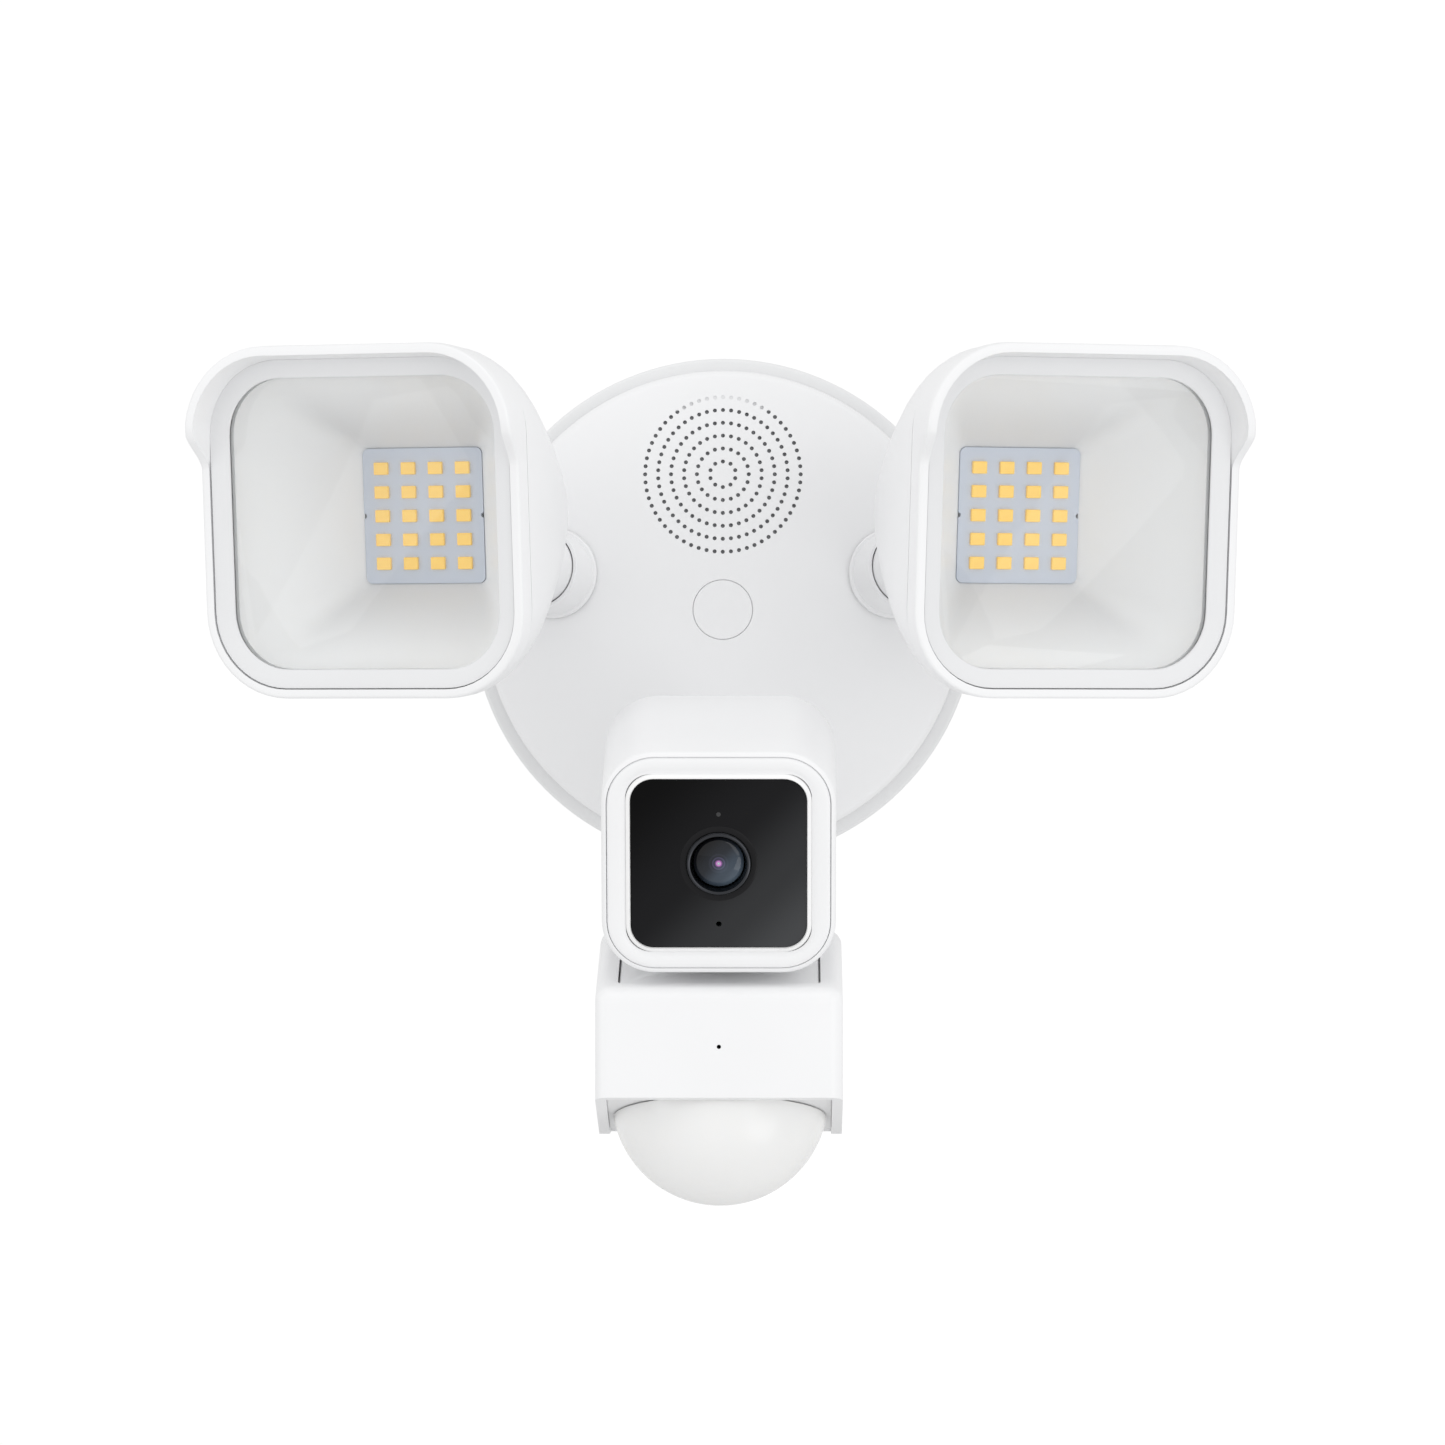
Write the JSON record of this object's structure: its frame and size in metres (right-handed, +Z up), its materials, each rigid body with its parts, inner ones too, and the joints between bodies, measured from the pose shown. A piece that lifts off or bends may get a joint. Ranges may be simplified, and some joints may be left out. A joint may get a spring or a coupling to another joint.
{
  "type": "floodlight security camera",
  "caption": "Wall-mounted floodlight: round base with siren grille, two swivelling square lamp heads, and an arm with a cube camera over a domed motion sensor.",
  "frame": {"origin": "centre of the mounting plate's back face, on the wall", "axes": "+Y into the wall, +Z up, +X to the right of someone facing the light"},
  "size_m": [0.2428, 0.1326, 0.1954],
  "materials": {
    "white_shell": "fine satin moulded white",
    "grey_trim": "satin light grey",
    "foam": "closed-cell foam",
    "steel": "zinc-plated",
    "dark_nylon": "moulded dark nylon",
    "circuit_board": "solder-masked board",
    "black_panel": "polished black",
    "lens_glass": "coated lens glass",
    "milky_lens": "milky translucent moulding",
    "clear_glass": "clear tempered glass",
    "seal_rubber": "pale silicone",
    "reflector_white": "smooth white reflector",
    "lamp_board": "aluminium-cored board with pale mask and yellow chips",
    "cast_aluminium": "die-cast"
  },
  "bodies": {
    "base": {"mount_plate": "grey_trim", "wall_gasket": "foam", "dome_cover": "white_shell", "cover_screw": "steel", "siren_speaker": "dark_nylon", "power_board": "circuit_board", "terminal_block": "white_shell", "lamp_left_collar": "white_shell", "lamp_right_collar": "white_shell", "arm_bracket": "white_shell", "arm_pan_pin": "steel"},
    "lamp_left_seat": {"lamp_left_swivel_seat": "dark_nylon"},
    "lamp_left_stem": {"lamp_left_ball_stem": "white_shell"},
    "lamp_left_head": {"lamp_left_housing": "white_shell", "lamp_left_hood": "white_shell", "lamp_left_inner_frame": "grey_trim", "lamp_left_glass": "clear_glass", "lamp_left_glass_seal": "seal_rubber", "lamp_left_reflector": "reflector_white", "lamp_left_led_board": "lamp_board", "lamp_left_heat_sink": "cast_aluminium", "lamp_left_stem_nut": "steel"},
    "lamp_right_seat": {"lamp_right_swivel_seat": "dark_nylon"},
    "lamp_right_stem": {"lamp_right_ball_stem": "white_shell"},
    "lamp_right_head": {"lamp_right_housing": "white_shell", "lamp_right_hood": "white_shell", "lamp_right_inner_frame": "grey_trim", "lamp_right_glass": "clear_glass", "lamp_right_glass_seal": "seal_rubber", "lamp_right_reflector": "reflector_white", "lamp_right_led_board": "lamp_board", "lamp_right_heat_sink": "cast_aluminium", "lamp_right_stem_nut": "steel"},
    "arm_yoke_body": {"arm_yoke": "white_shell", "arm_tilt_pin": "steel"},
    "sensor_body": {"sensor_arm": "white_shell", "sensor_housing": "white_shell", "sensor_base_plate": "grey_trim", "motion_lens": "milky_lens", "detector_board": "circuit_board", "camera_foot": "grey_trim", "camera_hinge_pin": "steel"},
    "camera_body": {"camera_shell": "white_shell", "camera_bezel": "white_shell", "camera_face_ring": "white_shell", "camera_front_panel": "black_panel", "camera_lens_ring": "black_panel", "camera_lens": "lens_glass", "camera_lens_barrel": "black_panel", "infrared_board": "circuit_board", "camera_main_board": "circuit_board"},
    "setup_button_body": {"setup_button": "grey_trim"},
    "centre_plug_body": {"centre_plug": "white_shell"}
  },
  "joints": [
    {"name": "lamp_left_swivel", "type": "hinge", "parent": "base", "child": "lamp_left_seat", "pos_m": [-0.04371, -0.02813, 0.00987], "axis": [-0.4185, -0.8975, 0.1392], "range_deg": [-20, 20]},
    {"name": "lamp_left_tilt", "type": "hinge", "parent": "lamp_left_seat", "child": "lamp_left_stem", "pos_m": [-0.04371, -0.02813, 0.00987], "axis": [0.9245, -0.3811, 0], "range_deg": [-18, 12]},
    {"name": "lamp_left_turn", "type": "hinge", "parent": "lamp_left_stem", "child": "lamp_left_head", "pos_m": [-0.04371, -0.02813, 0.00987], "axis": [-0.3799, -0.9217, -0.0785], "range_deg": [-20, 20]},
    {"name": "lamp_right_swivel", "type": "hinge", "parent": "base", "child": "lamp_right_seat", "pos_m": [0.04371, -0.02813, 0.00987], "axis": [0.4185, -0.8975, 0.1392], "range_deg": [-20, 20]},
    {"name": "lamp_right_tilt", "type": "hinge", "parent": "lamp_right_seat", "child": "lamp_right_stem", "pos_m": [0.04371, -0.02813, 0.00987], "axis": [0.9245, 0.3811, 0], "range_deg": [-18, 12]},
    {"name": "lamp_right_turn", "type": "hinge", "parent": "lamp_right_stem", "child": "lamp_right_head", "pos_m": [0.04371, -0.02813, 0.00987], "axis": [0.3799, -0.9217, -0.0785], "range_deg": [-20, 20]},
    {"name": "arm_pan", "type": "hinge", "parent": "base", "child": "arm_yoke_body", "pos_m": [0, -0.032, -0.044], "axis": [0, 0, 1], "range_deg": [-15, 15]},
    {"name": "arm_tilt", "type": "hinge", "parent": "arm_yoke_body", "child": "sensor_body", "pos_m": [0, -0.048, -0.044], "axis": [1, 0, 0], "range_deg": [-12, 15]},
    {"name": "camera_tilt", "type": "hinge", "parent": "sensor_body", "child": "camera_body", "pos_m": [0, -0.07513, -0.07275], "axis": [-1, 0, 0], "range_deg": [0, 25]},
    {"name": "setup_button_press", "type": "slide", "parent": "camera_body", "child": "setup_button_body", "axis": [0, -0.2672, 0.9636], "range_m": [0, 0.0006], "stiffness_N_per_m": 400, "springref_m": -0.0006},
    {"name": "plug_pull", "type": "slide", "parent": "base", "child": "centre_plug_body", "axis": [0, -1, 0], "range_m": [0, 0.012]}
  ]
}
